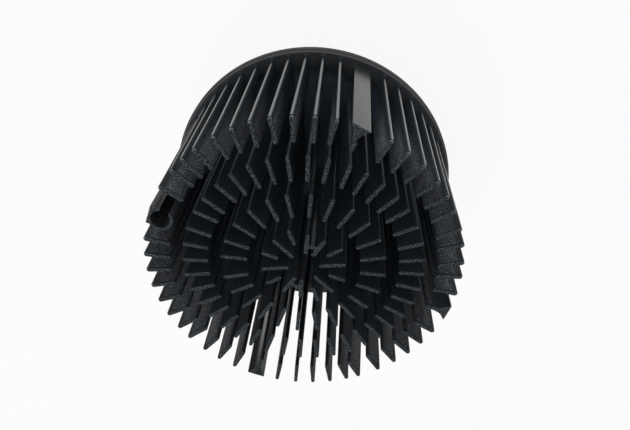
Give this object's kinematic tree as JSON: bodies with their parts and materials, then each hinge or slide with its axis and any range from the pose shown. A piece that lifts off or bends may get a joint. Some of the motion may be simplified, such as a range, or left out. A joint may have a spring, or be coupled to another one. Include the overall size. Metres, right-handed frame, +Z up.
{
  "type": "round finned heat sink",
  "caption": "Round black anodised LED heat sink: flat base disc with rings of upright plate fins, flat side pads, a C-shaped cable channel and screw ports.",
  "frame": {"origin": "centre of the flat face under the base disc, which takes the lamp", "axes": "+Z up along the disc's axis towards the fin tips, -X towards the cable channel, +X and both ends of Y towards the flat side pads"},
  "size_m": [0.14, 0.14, 0.08],
  "materials": {
    "black_anodised": "black anodised, fine die streaks"
  },
  "bodies": {
    "root": {"heat_sink": "black_anodised"}
  },
  "joints": []
}
